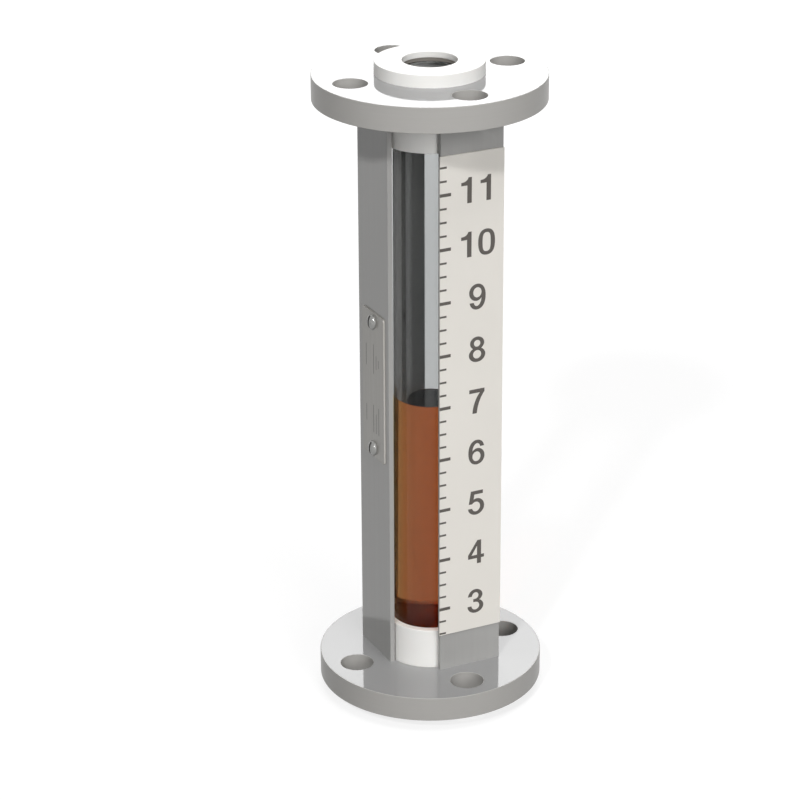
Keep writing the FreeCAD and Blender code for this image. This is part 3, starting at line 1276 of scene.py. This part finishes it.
@dataclass
class NameplateSet:
    """The brushed plate on the left angle and its two screws."""

    face: float = -25.0
    thickness: float = 0.8
    center_y: float = 8.3
    center_z: float = 158.7
    width: float = 23.0
    height: float = 74.0
    corner_radius: float = 1.5
    corner_steps: int = 8
    screw_spacing: float = 64.6
    head_radius: float = 3.6
    # The head's outline, as (share of its radius, height over its seat)
    dome: Outline = ((1.0, 0.55), (0.96, 0.95), (0.84, 1.5), (0.64, 1.95), (0.4, 2.25),
                     (0.15, 2.4))
    screw_segments: int = 64
    screw_crease: float = 40.0
    shank_radius: float = 2.0
    shank_end: float = -21.6
    slot_width: float = 1.4
    slot_depth: float = 1.1
    slot_margin: float = 0.02
    edge_radius: float = 0.07
    edge_steps: int = 2
    # How much Y a normal has, of 1, where its face is one of the plate's long edges
    edge_tilt: float = 0.6
    # How much Z a normal may have, of 1, where a face beside a slot is the slot's own
    slot_tilt: float = 0.5
    rule_width: float = 0.4
    rule_thickness: float = 0.03
    rules: tuple[tuple[float, float, float], ...] = (
        (-7.4, 8.0, 19.0), (0.6, 6.0, 21.0), (3.4, 9.0, 16.0), (5.8, 10.5, 14.5),
        (-7.4, -20.5, -12.0), (0.2, -24.0, -10.0), (3.0, -24.0, -14.0), (5.8, -24.0, -10.0))

    def plate(self) -> Piece:
        """Build the plate with rounded corners and softened edges.

        Returns:
            The plate at its place.
        """
        plate = block("nameplate_brushed",
                      (self.face - self.thickness / 2.0, self.center_y, self.center_z),
                      (self.thickness, self.width, self.height))
        pick_edges(plate, lambda first, second: abs(first.x - second.x) > SNUG)
        bevel_picked(plate, self.corner_radius, self.corner_steps)
        round_edges(plate, self.edge_radius, self.edge_steps)
        return plate

    def ruled_fields(self) -> Piece:
        """Paint the plate's plain ruled fields, with nothing written in them.

        Returns:
            The rules as thin bars on the plate's face.
        """
        middle = self.face - self.thickness - self.rule_thickness / 2.0
        return joined("nameplate_rules", [
            block("nameplate_rule",
                  (middle, self.center_y - across, self.center_z + (low + high) / 2.0),
                  (self.rule_thickness, self.rule_width, high - low))
            for across, low, high in self.rules])

    def screw(self, height: float) -> Piece:
        """Turn one raised-head screw and slot its head.

        Args:
            height: The screw's height on the nameplate's centre line.

        Returns:
            The screw at its place, pointing along X.
        """
        seat = self.face - self.thickness
        screw = turned_piece("nameplate_screw", [
            (self.shank_radius, seat - self.shank_end), (self.shank_radius, 0.0),
            (self.head_radius, 0.0),
        ] + [(self.head_radius * share, rise) for share, rise in self.dome],
            self.screw_segments, capped=True)
        screw.rotation_euler = (0.0, -math.pi / 2.0, 0.0)
        screw.location = (seat * MM, self.center_y * MM, height * MM)
        settle(screw)
        crown = seat - self.dome[-1][1]
        # The cutter's middle is at the crown, so it is twice as thick as the slot is deep
        cut_away(screw, block("screw_slot", (crown, self.center_y, height), (
            self.slot_depth * 2.0, self.slot_width, self.head_radius * 3.0)))
        return screw

    def build(self, finishes: Finishes) -> None:
        """Make and dress the plate and its screws.

        The plate's two long edges get a lighter colour, a painted highlight, because the
        photo shows the near one as a bright line.

        Args:
            finishes: The gauge's finishes.
        """
        # The plate's long edges get the lighter colour, a painted highlight
        fit_on(self.plate(), "nameplate_steel", (finishes.plate_steel, finishes.plate_edge),
               "nameplate", on_second=lambda face: abs(face.normal.y) > self.edge_tilt)
        fit_on(self.ruled_fields(), "scale_print", (finishes.plate_print,), crease=None)
        screws = joined("nameplate_screws_domed", [
            self.screw(self.center_z + side * self.screw_spacing / 2.0) for side in (-1, 1)])
        # Faces inside each slot get the near-black coat, painted shade in the recess
        reach = self.slot_width / 2.0 + self.slot_margin
        fit_on(screws, "screw_steel", (finishes.screw_steel, finishes.slot_grime),
               "nameplate_screws", crease=self.screw_crease,
               on_second=lambda face: abs(face.center.y / MM - self.center_y) < reach
               and abs(face.normal.z) < self.slot_tilt)


# Studio


@dataclass
class SoftLamp:
    """One square soft lamp that looks at the gauge."""

    name: str
    toward: Triple
    distance: float
    size: float
    power: float

    def build(self, target: Vector) -> None:
        """Hang the lamp.

        Args:
            target: The place that it looks at, in metres.
        """
        clear_selection()
        toward = Vector(self.toward).normalized()
        bpy.ops.object.light_add(type="AREA", location=target + toward * self.distance)
        lamp = bpy.context.object
        lamp.name = lamp.data.name = self.name
        lamp.rotation_euler = (-toward).to_track_quat("-Z", "Y").to_euler()
        lamp.data.shape = "SQUARE"
        lamp.data.size = self.size
        lamp.data.energy = self.power
        lamp.visible_camera = False
        lamp.visible_transmission = False


@dataclass
class Studio:
    """Floor, world, the photograph's camera, a key lamp, two broad lamps and one behind."""

    middle: Triple = (0.0, 0.0, 0.158)
    floor_size: float = 12.0
    floor_squares: int = 4
    ambient: float = 0.02
    soft_lamps: tuple[SoftLamp, ...] = (
        SoftLamp("key_soft_lamp", (-0.55, -0.54, 0.635), 4.5, 0.3, 90.0),
        SoftLamp("front_soft_lamp", (0.03, -1.0, 0.36), 4.5, 2.0, 98.0),
        SoftLamp("overhead_soft_lamp", (0.0, -0.25, 1.0), 4.0, 2.4, 74.0),
        SoftLamp("back_soft_lamp", (0.40, 0.83, 0.46), 3.0, 2.0, 34.0))
    camera_place: Triple = (-0.5541, -1.1157, 0.6836)
    camera_forward: Triple = (0.39937, 0.82775, -0.39411)
    camera_roll: float = -0.0052
    lens: float = 128.535
    sensor: float = 36.0
    sight: tuple[float, float] = (0.01, 60.0)

    def floor(self) -> None:
        """Lay the pale floor that the gauge stands on."""
        clear_selection()
        bpy.ops.mesh.primitive_grid_add(
            x_subdivisions=self.floor_squares, y_subdivisions=self.floor_squares,
            size=self.floor_size)
        ground = bpy.context.object
        ground.name = ground.data.name = "pale_floor"
        dress(ground, PaleGround().material())

    def world(self) -> None:
        """Light the room evenly, and show it white to camera, gloss and glass."""
        board = NodeBoard("studio_room", world=True)
        strength = board.spread(seen_as_background(board), self.ambient, 1.0, 0.0, 1.0)
        room = board.add("Background", Color=(1.0, 1.0, 1.0, 1.0), Strength=strength)
        bpy.context.scene.world = board.finish(room)

    def camera(self) -> None:
        """Stand the camera where the photograph was taken from."""
        clear_selection()
        forward = Vector(self.camera_forward).normalized()
        level = Vector((forward.y, -forward.x, 0.0)).normalized()
        upward = level.cross(forward)
        turn = self.camera_roll
        right = level * math.cos(turn) + upward * math.sin(turn)
        up = upward * math.cos(turn) - level * math.sin(turn)
        bpy.ops.object.camera_add(location=self.camera_place)
        camera = bpy.context.object
        camera.name = camera.data.name = "photo_camera"
        axes = Matrix((right, up, -forward)).transposed()
        camera.rotation_euler = axes.to_euler()
        camera.data.sensor_width = self.sensor
        camera.data.lens = self.lens
        camera.data.clip_start, camera.data.clip_end = self.sight
        bpy.context.scene.camera = camera

    def build(self) -> None:
        """Set up the whole studio."""
        bpy.context.scene.view_settings.view_transform = "Standard"
        self.floor()
        self.world()
        for lamp in self.soft_lamps:
            lamp.build(Vector(self.middle))
        self.camera()


def main() -> None:
    """Build the gauge and the studio, in order."""
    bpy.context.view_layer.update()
    finishes = Finishes()
    for assembly in (PipeFlanges(), ArmorAngles(), SightTube(), ScaleStrip(), NameplateSet()):
        assembly.build(finishes)
        log.info("%s done", type(assembly).__name__)
    Studio().build()


if __name__ == "__main__":
    main()
